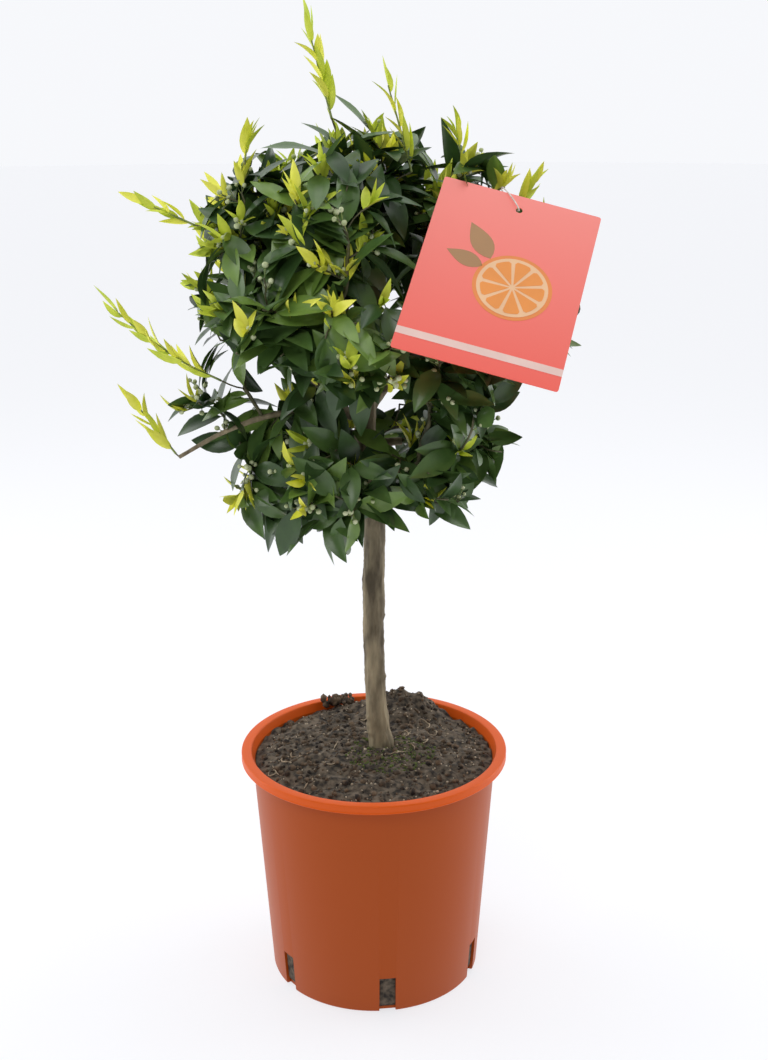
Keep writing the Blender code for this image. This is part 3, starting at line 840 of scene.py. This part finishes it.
def limb_path(name):
    """A bough's smooth path and radii, begun inside the stem so that no gap shows."""
    middles, radii = centreline(name)
    back = (middles[0] - middles[1]).normalized()
    middles = [middles[0] + back * LIMB_ROOT, *middles]
    path = smooth_path(middles, LIMB_RINGS)
    thick = np.interp(np.linspace(0, len(radii), LIMB_RINGS + 1), range(len(middles)),
                      [radii[0] * LIMB_ROOT_SWELL, *radii])
    return path, list(thick)


def make_limbs():
    """The stem and every bough as one mesh with bark relief."""
    heap = Heap()
    rings = stem_rings()
    make_stem(heap, rings)
    paths = []
    for name in BOUGHS:
        path, radii = limb_path(name)
        paths.append(path)
        rough = [radius * (1 + LIMB_ROUGHNESS * noise.noise(place * LIMB_ROUGH_FREQUENCY))
                 for place, radius in zip(path, radii)]
        tube(heap, path, rough, LIMB_SIDES)
    bark = mottled("young_bark", (0.080, 0.060, 0.032), (0.33, 0.27, 0.165),
                   roughness=0.75, scale=45.0, bump=0.5, stretch=(2.2, 2.2, 0.55))
    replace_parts(heap.make("bark_limbs", bark, "bark"), "trunk", *BOUGHS)
    axis = [Vector((ring[1][0], ring[1][1], ring[0])) for ring in rings]
    return paths, axis


# Twigs, grown from the limbs into the masses

class Skeleton:
    """Points of wood, each with its parent and its way back to the stem."""

    def __init__(self):
        self.places = []
        self.parents = []
        self.lengths = []
        self.wood = []

    def add(self, place, parent, is_limb=False):
        length = 0.0
        if parent >= 0:
            length = self.lengths[parent] + (place - self.places[parent]).length
        self.places.append(place)
        self.parents.append(parent)
        self.lengths.append(length)
        self.wood.append(is_limb)
        return len(self.places) - 1

    def nearest(self, place):
        gaps = [(place - other).length for other in self.places]
        return gaps.index(min(gaps))


def start_skeleton(paths, axis):
    """The skeleton of the stem's upper part and the boughs, which the twigs grow from."""
    skeleton = Skeleton()
    parent = -1
    for place in axis:
        if place.z > LOWEST_FORK:
            parent = skeleton.add(place, parent, is_limb=True)
    for path in paths:
        parent = skeleton.nearest(path[0])
        before = path[0]
        for place in path:
            if (place - before).length >= NODE_STEP or place is path[-1]:
                parent = skeleton.add(place, parent, is_limb=True)
                before = place
    return skeleton


def spread_tips(name, rng):
    """Twig tips spread through a mass, no two closer than the spacing."""
    mesh = NODES[name].data
    corners = [[mesh.vertices[index].co for index in face.vertices] for face in mesh.polygons]
    low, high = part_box(name)
    middle = (low + high) / 2
    tips = []
    for _ in range(TIP_TRIES):
        corner = rng.choice(corners)
        skin = sum(corner, Vector()) / len(corner)
        tip = middle + (skin - middle) * rng.uniform(*TIP_DEPTH) ** 0.5 * TIP_REACH
        if all((tip - other).length > TIP_SPACING for other in tips):
            tips.append(tip)
    return tips


def grow(skeleton, tips):
    """Joins the tips to the wood one by one, each time by the shortest way back to the stem."""
    rng = random.Random("twigs")
    ends = {}
    waiting = list(range(len(tips)))
    target = np.array([list(tip) for tip in tips])
    cost = np.full(len(tips), np.inf)
    source = np.zeros(len(tips), dtype=int)
    fresh = range(len(skeleton.places))
    while waiting:
        for index in fresh:
            gap = np.linalg.norm(target - np.array(skeleton.places[index]), axis=1)
            total = gap + REACH_COST * skeleton.lengths[index]
            better = total < cost
            cost[better] = total[better]
            source[better] = index
        pick = min(waiting, key=lambda index: cost[index])
        waiting.remove(pick)
        begin = len(skeleton.places)
        ends[pick] = add_twig(skeleton, int(source[pick]), tips[pick], rng)
        fresh = range(begin, len(skeleton.places))
    return ends


def add_twig(skeleton, parent, tip, rng):
    """A bowed, slightly crooked twig from a point of wood to a tip."""
    start = skeleton.places[parent]
    away = tip - start
    steps = max(1, round(away.length / NODE_STEP))
    bow = Vector([rng.gauss(0, TWIG_BOW) for _ in range(3)]) * away.length
    for step in range(1, steps + 1):
        share = step / steps
        wander = Vector([rng.gauss(0, 1) for _ in range(3)]) * TWIG_WANDER * (1 - share)
        place = start + away * share + bow * 4 * share * (1 - share) + wander
        parent = skeleton.add(place, parent)
    return parent


def twig_radii(skeleton, ends):
    """Every fork is as thick as its twigs together (pipe rule)."""
    load = np.zeros(len(skeleton.places))
    for end in ends.values():
        load[end] += TIP_RADIUS**PIPE_POWER
    for index in reversed(range(len(load))):
        parent = skeleton.parents[index]
        if parent >= 0:
            load[parent] += load[index]
    return np.minimum(load ** (1 / PIPE_POWER), THICKEST_TWIG)


def chain_back(skeleton, end, used):
    """The points from the nearest wood that is already drawn out to an end."""
    chain = [end]
    while skeleton.parents[chain[-1]] >= 0:
        parent = skeleton.parents[chain[-1]]
        chain.append(parent)
        if skeleton.wood[parent] or parent in used:
            break
    chain.reverse()
    return chain


def make_twigs(skeleton, ends):
    radii = twig_radii(skeleton, ends)
    heap = Heap()
    used = set()
    longest_first = sorted(ends.values(), key=lambda end: -skeleton.lengths[end])
    for end in longest_first:
        chain = chain_back(skeleton, end, used)
        used.update(chain)
        if len(chain) < 2:
            continue
        path = [skeleton.places[index] for index in chain]
        thick = [max(float(radii[index]), TIP_RADIUS) for index in chain]
        thick[0] = thick[1]
        tube(heap, path, thick, TWIG_SIDES)
    wood = mottled("twig_green", (0.060, 0.062, 0.026), (0.130, 0.120, 0.055), roughness=0.6, scale=90.0)
    twigs = heap.make("twigs", wood, "bark")
    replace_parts(twigs, *MASSES)


# Room for the leaves

def card_matrix():
    turn = Matrix.Rotation(CARD_TURN, 4, "Z")
    lean = Matrix.Rotation(CARD_LEAN, 4, "X")
    roll = Matrix.Rotation(CARD_ROLL, 4, "Y")
    return Matrix.Translation(CARD_MIDDLE) @ turn @ lean @ roll


CARD_INVERSE = card_matrix().inverted()


def hits_card(place):
    """Whether a place is in or in front of the card, seen square to it."""
    local = CARD_INVERSE @ place
    beside = abs(local.x) > CARD_WIDTH / 2 + CARD_AIR or abs(local.z) > CARD_HEIGHT / 2 + CARD_AIR
    return not beside and local.y < CARD_AIR


def beyond(surface, place):
    """How far a place stands outside the masses; below zero inside them."""
    near, normal, _, distance = surface.find_nearest(place)
    return distance if (place - near).dot(normal) > 0 else -distance


def inner_room(place):
    """Inside the head, leaves hang out of the masses, except low down beside the fork."""
    inner = hypot(place.x, place.y) < INNER_RADIUS
    full = place.x < INNER_SIDE or place.z > FULL_ABOVE
    return INNER_EXTRA if inner and full else 0.0


def in_sky_gap(place):
    """Whether the camera sees a place in one of the head's open gaps."""
    share = -CAMERA_PLACE.y / (place.y - CAMERA_PLACE.y)
    seen = CAMERA_PLACE + (place - CAMERA_PLACE) * share
    for x, z, half_width, half_height in SKY_GAPS:
        if hypot((seen.x - x) / half_width, (seen.z - z) / half_height) < 1.0:
            return True
    return False


def way_back(skeleton, end, distance):
    """The place that far back along the twig from its end, and the way it runs there."""
    index = end
    gone = 0.0
    while skeleton.parents[index] >= 0:
        parent = skeleton.parents[index]
        step = (skeleton.places[index] - skeleton.places[parent]).length
        if gone + step >= distance or skeleton.wood[parent]:
            break
        gone += step
        index = parent
    parent = max(skeleton.parents[index], 0)
    heading = skeleton.places[index] - skeleton.places[parent]
    share = min(max(distance - gone, 0.0), heading.length)
    along = heading.normalized() if heading.length else UP
    return skeleton.places[index] - along * share, along


def leaf_heading(along, turn, spread, sag):
    """A direction that leans out from the twig at an angle, pulled down by the sag."""
    across = along.orthogonal().normalized()
    across = Matrix.Rotation(turn, 3, along) @ across
    heading = along * cos(spread) + across * sin(spread) - UP * sag
    return heading.normalized()


# Foliage

class Foliage:
    """Leaves, young leaves, buds and their stalks, gathered by colour."""

    def __init__(self, surface, middle):
        self.surface = surface
        self.middle = middle
        self.mature = {tone: Heap() for tone in MATURE_TONES}
        self.young = {tone: Heap() for tone in YOUNG_TONES}
        self.buds = Heap()
        self.stalks = Heap()

    def has_room(self, base, heading, length):
        """Whether a mature leaf stays in the head, out of its open gaps and off the card."""
        tip = base + heading * length
        half_way = base + heading * length / 2
        inside = beyond(self.surface, tip) < OVERSHOOT + inner_room(tip)
        clear = not (in_sky_gap(tip) or in_sky_gap(half_way) or in_sky_gap(base))
        return inside and clear and not hits_card(tip) and not hits_card(half_way)

    def spray(self, skeleton, end, rng):
        """The mature leaves of one twig, all of one tone."""
        tone = rng.choices(list(self.mature), weights=MATURE_SHARES)[0]
        turn = rng.uniform(0, 2 * pi)
        for number in range(rng.randint(*LEAVES_PER_SPRAY)):
            base, along = way_back(skeleton, end, LEAF_STEP * number)
            length = rng.uniform(*LEAF_LENGTH)
            for _ in range(LEAF_TRIES):
                turn += GOLDEN_TURN + rng.uniform(-LEAF_TURN_WANDER, LEAF_TURN_WANDER)
                spread = radians(rng.uniform(*LEAF_SPREAD) + LEAF_SPREAD_GAIN * number)
                heading = leaf_heading(along, turn, spread, sag=rng.uniform(0.05, 0.55))
                if self.has_room(base, heading, length):
                    self.mature_leaf(self.mature[tone], base, heading, length, rng)
                    break
                length *= LEAF_SHRINK

    def mature_leaf(self, heap, base, heading, length, rng):
        outward = (base - self.middle).normalized()
        wobble = Vector([rng.gauss(0, LEAF_FACE_WOBBLE) for _ in range(3)])
        face_up = UP * LEAF_FACE_UP + outward * LEAF_FACE_OUT + wobble
        leaf(heap, base, heading, face_up, length, slimness=rng.uniform(*LEAF_SLIMNESS),
             droop=rng.uniform(0.2, 0.9), fold=rng.uniform(0.10, 0.38),
             rows=LEAF_ROWS, columns=LEAF_COLUMNS, outline=mature_outline, wave=rng.uniform(0.0, 0.10))

    def young_leaf(self, base, heading, length, rng, tone=None):
        tone = tone or rng.choice(list(self.young))
        outward = (base - self.middle).normalized()
        face_up = UP * YOUNG_FACE_UP + outward + heading.orthogonal() * YOUNG_FACE_TURN
        leaf(self.young[tone], base, heading, face_up, length, slimness=rng.uniform(*YOUNG_SLIMNESS),
             droop=rng.uniform(-0.3, 0.5), fold=rng.uniform(0.25, 0.7),
             rows=YOUNG_ROWS, columns=YOUNG_COLUMNS, outline=young_outline)

    def young_spray(self, skeleton, end, rng):
        """A few pale upright leaves at the very end of a twig."""
        tone = rng.choice(list(self.young))
        turn = rng.uniform(0, 2 * pi)
        outward = (skeleton.places[end] - self.middle).normalized()
        for number in range(rng.randint(*YOUNG_PER_SPRAY)):
            base, along = way_back(skeleton, end, YOUNG_STEP * number)
            along = (along + UP * YOUNG_RISE + outward * YOUNG_OUTWARD).normalized()
            turn += GOLDEN_TURN
            heading = leaf_heading(along, turn, radians(rng.uniform(*YOUNG_SPREAD)), sag=0.0)
            length = rng.uniform(*YOUNG_LENGTH)
            tip = base + heading * length
            if beyond(self.surface, tip) < YOUNG_OVERSHOOT and not hits_card(tip):
                self.young_leaf(base, heading, length, rng, tone)

    def bud_cluster(self, skeleton, end, rng, ball):
        """Round flower buds on thin stalks round the end of a twig."""
        for _ in range(rng.randint(*BUDS_PER_TWIG)):
            base, along = way_back(skeleton, end, rng.uniform(0.0, BUD_REACH))
            turn = rng.uniform(0, 2 * pi)
            heading = leaf_heading(along, turn, spread=rng.uniform(0.2, 1.2), sag=-0.25)
            tip = base + heading * rng.uniform(*BUD_STALK_LENGTH)
            if hits_card(tip):
                continue
            dip = (base + tip) / 2 - UP * BUD_STALK_DIP
            tube(self.stalks, [base, dip, tip], [BUD_STALK_RADIUS] * 3, sides=4)
            lump(self.buds, ball, tip, rng.uniform(*BUD_RADIUS), rng, roughness=0.10)

    def make(self):
        for tone, heap in self.mature.items():
            material = mottled("leaf_" + tone, *MATURE_TONES[tone], roughness=0.31, scale=55.0)
            heap.make("leaves_" + tone, material, "leaves")
        for tone, heap in self.young.items():
            material = mottled("young_" + tone, *YOUNG_TONES[tone], roughness=0.5, scale=80.0, sheen=0.3)
            heap.make("young_leaves_" + tone, material, "young_leaves")
        bud = mottled("bud_pale", (0.36, 0.42, 0.20), (0.62, 0.66, 0.42),
                      roughness=0.5, scale=200.0, sheen=0.3)
        self.buds.make("flower_buds", bud, "young_leaves")
        stalk = mottled("stalk_green", (0.16, 0.22, 0.06), (0.26, 0.32, 0.09), roughness=0.6, scale=100.0)
        self.stalks.make("young_stalks", stalk, "young_leaves")


def make_foliage(skeleton, ends, foliage):
    """Leaves on every twig, and young leaves and buds on some of those near the head's skin."""
    rng = random.Random("foliage")
    ball = unit_ball(2)
    for end in ends:
        foliage.spray(skeleton, end, rng)
        place = skeleton.places[end]
        near_skin = beyond(foliage.surface, place) > -SKIN_DEPTH
        young_share = YOUNG_SHARE_HIGH if place.z > YOUNG_HIGH_ABOVE else YOUNG_SHARE_LOW
        if near_skin and rng.random() < young_share:
            foliage.young_spray(skeleton, end, rng)
        if near_skin and rng.random() < BUD_SHARE:
            foliage.bud_cluster(skeleton, end, rng, ball)


def make_shoot(name, foliage):
    """A young shoot: a thin stem with pale leaves that shorten towards its tip."""
    rng = random.Random(name)
    path = smooth_path(centreline(name)[0], SHOOT_RINGS)
    whole = sum((after - before).length for before, after in zip(path, path[1:]))
    end_leaf = min(SHOOT_END_LEAF, whole * SHOOT_END_SHARE)
    stop = max(SHOOT_FEWEST_RINGS, round(SHOOT_RINGS * (1 - end_leaf / whole)))
    stem = path[:stop + 1]
    radii = np.linspace(*SHOOT_STEM_RADII, len(stem))
    tube(foliage.stalks, stem, list(radii), sides=6)
    end = path[-1] - stem[-1]
    foliage.young_leaf(stem[-1], end.normalized(), end.length, rng)
    turn = rng.uniform(0, 2 * pi)
    count = max(SHOOT_FEWEST_LEAVES, round(whole / SHOOT_LEAF_STEP))
    for number in range(count):
        share = SHOOT_BARE_FOOT + (1 - SHOOT_BARE_FOOT) * number / count
        index = round(stop * share)
        along = (path[min(index + 1, SHOOT_RINGS)] - path[max(index - 1, 0)]).normalized()
        turn += GOLDEN_TURN
        spread = radians(rng.uniform(*SHOOT_LEAF_SPREAD))
        heading = leaf_heading(along, turn, spread, sag=-0.10)
        length = rng.uniform(*SHOOT_LEAF_LENGTH) * (1 - SHOOT_LEAF_TAPER * number / count)
        foliage.young_leaf(path[index], heading, length, rng)


# Hang card

def rounded_outline(width, height, corner):
    places = []
    for index, (side, up) in enumerate(((1, 1), (-1, 1), (-1, -1), (1, -1))):
        for step in range(CORNER_STEPS + 1):
            turn = pi / 2 * (index + step / CORNER_STEPS)
            x = side * (width / 2 - corner) + corner * cos(turn)
            places.append((x, up * (height / 2 - corner) + corner * sin(turn)))
    return places


def plate(heap, outline, front, back):
    """A flat plate between two depths, from an outline of (x, z) points."""
    count = len(outline)
    places = [(x, front, z) for x, z in outline] + [(x, back, z) for x, z in outline]
    faces = [tuple(range(count)), tuple(reversed(range(count, 2 * count)))]
    for side in range(count):
        after = (side + 1) % count
        faces.append((side, side + count, after + count, after))
    heap.add(places, faces)


def hole_cutter():
    bm = bmesh.new()
    place = Matrix.Translation((0, 0, CARD_HEIGHT / 2 - CARD_HOLE_BELOW_TOP))
    bmesh.ops.create_cone(
        bm, cap_ends=True, segments=40, radius1=CARD_HOLE_RADIUS, radius2=CARD_HOLE_RADIUS,
        depth=0.01, matrix=place @ Matrix.Rotation(pi / 2, 4, "X"),
    )
    return new_object("hole", mesh_from("hole", bm))


def make_card():
    heap = Heap()
    half = CARD_THICKNESS / 2
    plate(heap, rounded_outline(CARD_WIDTH, CARD_HEIGHT, CARD_CORNER), -half, half)
    material = graded("card_coral", low=(0.92, 0.120, 0.085), high=(0.97, 0.260, 0.220),
                      span=(-CARD_HEIGHT / 2, CARD_HEIGHT / 2), roughness=0.42)
    card = heap.make("card_sheet", material, "card_print", smooth=False)
    cut(card, hole_cutter())
    card.matrix_world = card_matrix()
    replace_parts(card, "hang_card")
    make_print()


def print_plate(name, outlines, colour, layer):
    """One printed colour as thin plates on the card's front, the higher layers over the lower."""
    heap = Heap()
    front = -CARD_THICKNESS / 2 - PRINT_LIFT * layer
    for outline in outlines:
        plate(heap, outline, front, -CARD_THICKNESS / 2 + PRINT_SUNK)
    dark = tuple(0.93 * part for part in colour)
    material = mottled(name, dark, colour, roughness=0.42, scale=40.0)
    piece = heap.make(name, material, "card_print", smooth=False)
    piece.matrix_world = card_matrix()


def wedge_outline(middle, radius, turn, spread):
    """One juice segment of a cut fruit, with rounded outer corners."""
    places = [(middle[0] + JUICE_START * cos(turn), middle[1] + JUICE_START * sin(turn))]
    for step in range(9):
        angle = turn + spread * (step / 8 - 0.5)
        reach = radius * (0.93 if step in (0, 8) else 1.0)
        places.append((middle[0] + reach * cos(angle), middle[1] + reach * sin(angle)))
    return places


def printed_leaf(foot, turn, length, width):
    places = []
    for side in (1, -1):
        steps = range(11) if side == 1 else range(9, 0, -1)
        for step in steps:
            share = step / 10
            x = length * share
            z = side * width / 2 * sin(pi * share**0.8)
            places.append((foot[0] + x * cos(turn) - z * sin(turn),
                           foot[1] + x * sin(turn) + z * cos(turn)))
    return places


def make_print():
    """A plain printed picture: a cut citrus, two leaves and a pale stripe, with no lettering."""
    wedges = [wedge_outline(SLICE_MIDDLE, radius=0.0225, turn=turn, spread=0.56)
              for turn in turn_angles(JUICE_SEGMENTS)]
    leaves = [printed_leaf(*place_and_size) for place_and_size in PRINTED_LEAVES]
    rind = circle(radius=0.028, count=48, middle=SLICE_MIDDLE)
    pith = circle(radius=0.0252, count=48, middle=SLICE_MIDDLE)
    print_plate("print_stripe", [STRIPE_CORNERS], (0.88, 0.62, 0.55), layer=1)
    print_plate("print_leaf", leaves, (0.42, 0.22, 0.085), layer=1)
    print_plate("print_rind", [rind], (0.86, 0.26, 0.050), layer=1)
    print_plate("print_pith", [pith], (0.90, 0.55, 0.30), layer=2)
    print_plate("print_juice", wedges, (0.88, 0.30, 0.045), layer=3)


def finish_string():
    """The CAD string stays as it is and gets a twine's colour."""
    twine = mottled("twine_pale", (0.62, 0.58, 0.50), (0.82, 0.80, 0.74), roughness=0.8, scale=300.0)
    string = NODES["hang_string"]
    string.data.materials.clear()
    string.data.materials.append(twine)


# Studio

def add_panel(name, place, aim, size, power):
    data = bpy.data.lights.new(name, "AREA")
    data.shape = "RECTANGLE"
    data.size, data.size_y = size
    data.energy = power
    lamp = new_object(name, data)
    lamp.location = place
    lamp.rotation_mode = "QUATERNION"
    lamp.rotation_quaternion = (Vector(aim) - Vector(place)).to_track_quat("-Z", "Y")


def make_world():
    """Pale surroundings, brighter behind and at the sides than at the camera."""
    world = bpy.data.worlds.new("studio")
    bpy.context.scene.world = world
    world.use_nodes = True
    tree = world.node_tree
    back = tree.nodes["Background"]
    back.inputs["Color"].default_value = STUDIO_WHITE
    strength = along_axis(tree, "Generated", "Y", span=(-0.9, 0.2), to=(0.12, 0.97))
    tree.links.new(strength, back.inputs["Strength"])


def make_floor():
    """A pale floor that glows a little, so that it fades into the background."""
    bm = bmesh.new()
    bmesh.ops.create_circle(bm, cap_ends=True, segments=96, radius=12.0)
    floor = new_object("floor", mesh_from("floor", bm))
    floor.location.z = -FLOOR_BELOW
    white, _, shader = new_material("floor_white", roughness=0.9, colour=(0.30, 0.302, 0.310))
    shader.inputs["Emission Color"].default_value = STUDIO_WHITE
    shader.inputs["Emission Strength"].default_value = 0.68
    floor.data.materials.append(white)


def make_camera():
    forward = Vector((
        sin(CAMERA_YAW) * cos(CAMERA_PITCH),
        cos(CAMERA_YAW) * cos(CAMERA_PITCH),
        -sin(CAMERA_PITCH),
    ))
    right = forward.cross(UP).normalized()
    above = right.cross(forward)
    spin = Matrix.Rotation(-CAMERA_ROLL, 3, forward)
    right = spin @ right
    above = spin @ above
    data = bpy.data.cameras.new("camera")
    data.lens = CAMERA_LENS
    data.sensor_width = CAMERA_SENSOR
    camera = new_object("camera", data)
    turn = Matrix((right, above, -forward)).transposed().to_4x4()
    camera.matrix_world = Matrix.Translation(CAMERA_PLACE) @ turn
    bpy.context.scene.camera = camera


def make_studio():
    bpy.context.scene.view_settings.view_transform = "Standard"
    make_world()
    make_floor()
    for panel in PANELS:
        add_panel(*panel)
    make_camera()


def make_head():
    """Stem, boughs, twigs, leaves, buds and shoots."""
    paths, axis = make_limbs()
    skeleton = start_skeleton(paths, axis)
    rng = random.Random("tips")
    tips = [tip for name in MASSES for tip in spread_tips(name, rng)]
    tips += [Vector(place) for place in INNER_TIPS]
    shoot_feet = [centreline(name)[0][0] for name in SHOOTS]
    ends = grow(skeleton, tips + shoot_feet)
    make_twigs(skeleton, ends)
    leafy = [ends[index] for index in range(len(tips))]
    head_middle = sum((Vector(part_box(name)[0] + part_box(name)[1]) / 2 for name in MASSES), Vector())
    foliage = Foliage(surface_of(MASSES), head_middle / len(MASSES))
    make_foliage(skeleton, leafy, foliage)
    for name in SHOOTS:
        make_shoot(name, foliage)
    foliage.make()
    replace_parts(bpy.data.objects["young_stalks"], *SHOOTS)


def main():
    make_pot()
    make_soil()
    make_head()
    make_card()
    finish_string()
    make_studio()


main()
